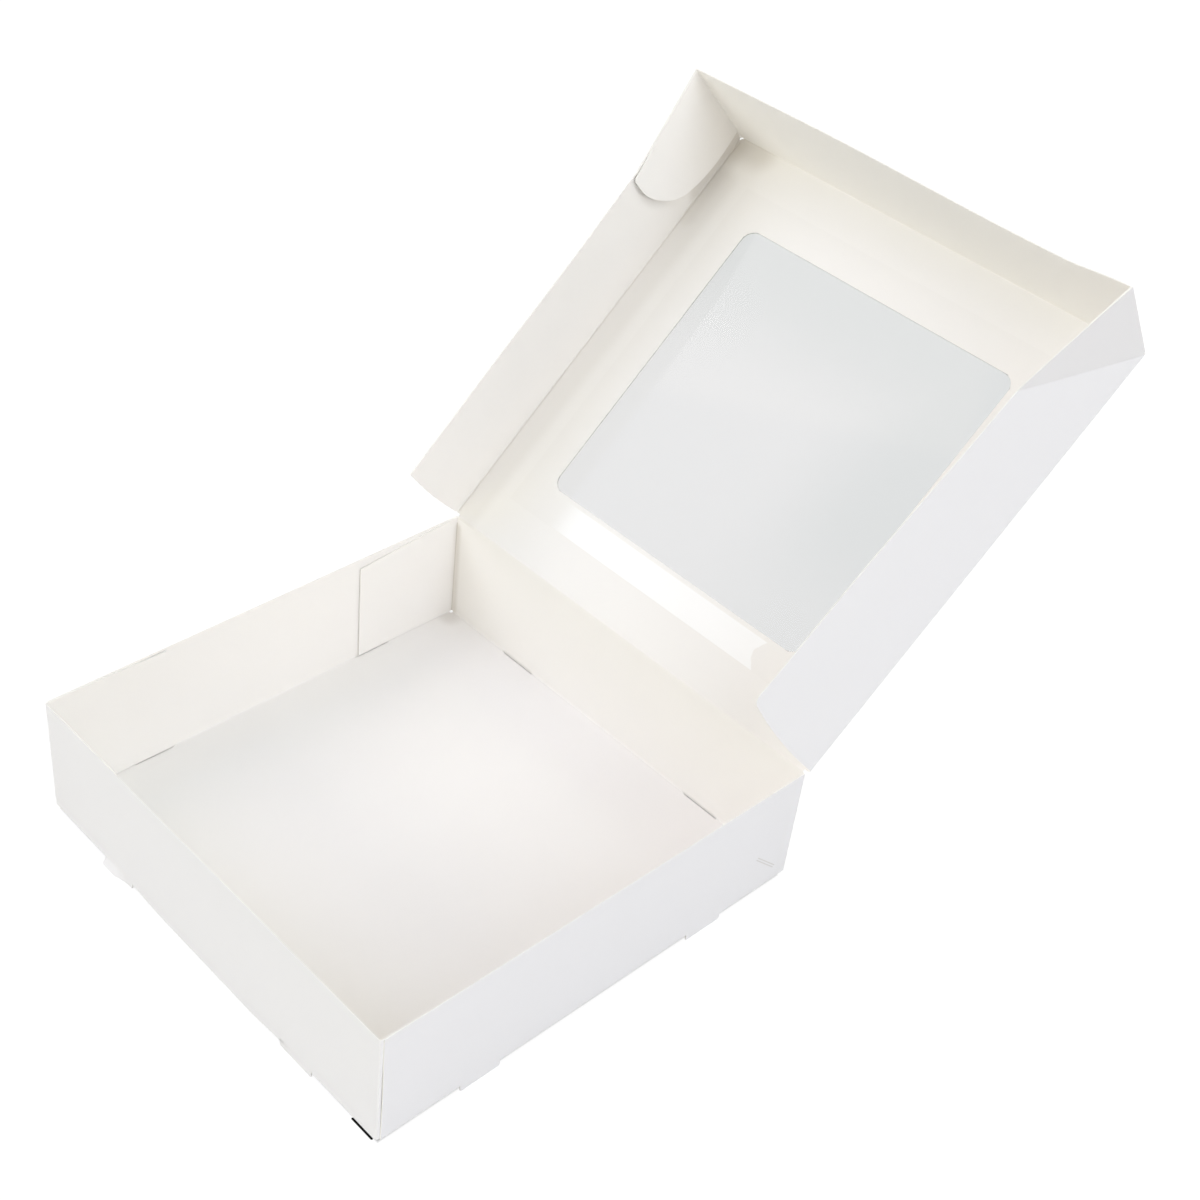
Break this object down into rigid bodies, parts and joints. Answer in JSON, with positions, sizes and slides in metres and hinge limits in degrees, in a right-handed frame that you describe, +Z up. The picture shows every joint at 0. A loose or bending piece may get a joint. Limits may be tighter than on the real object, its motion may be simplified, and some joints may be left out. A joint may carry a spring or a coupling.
{
  "type": "windowed cake box",
  "caption": "Square white paperboard cake box with its hinged lid open, a clear film window in the lid, glued corners and small die-cut feet.",
  "frame": {"origin": "centre of the tray floor's underside; the feet reach 3 mm below it", "axes": "+X along the hinge, to the right seen from the front; +Y from the front to the hinge; +Z up"},
  "size_m": [0.2534, 0.4409, 0.2809],
  "materials": {
    "board": "smooth white folding board with a soft sheen, warmer inside",
    "film": "clear glossy film"
  },
  "bodies": {
    "tray": {"tray": "board"},
    "lid": {"lid": "board", "window_film": "film"}
  },
  "joints": [
    {"name": "lid_hinge", "type": "hinge", "parent": "tray", "child": "lid", "pos_m": [0, 0.12475, 0.06555], "axis": [-1, 0, 0], "range_deg": [-139.5, 55.5]}
  ]
}
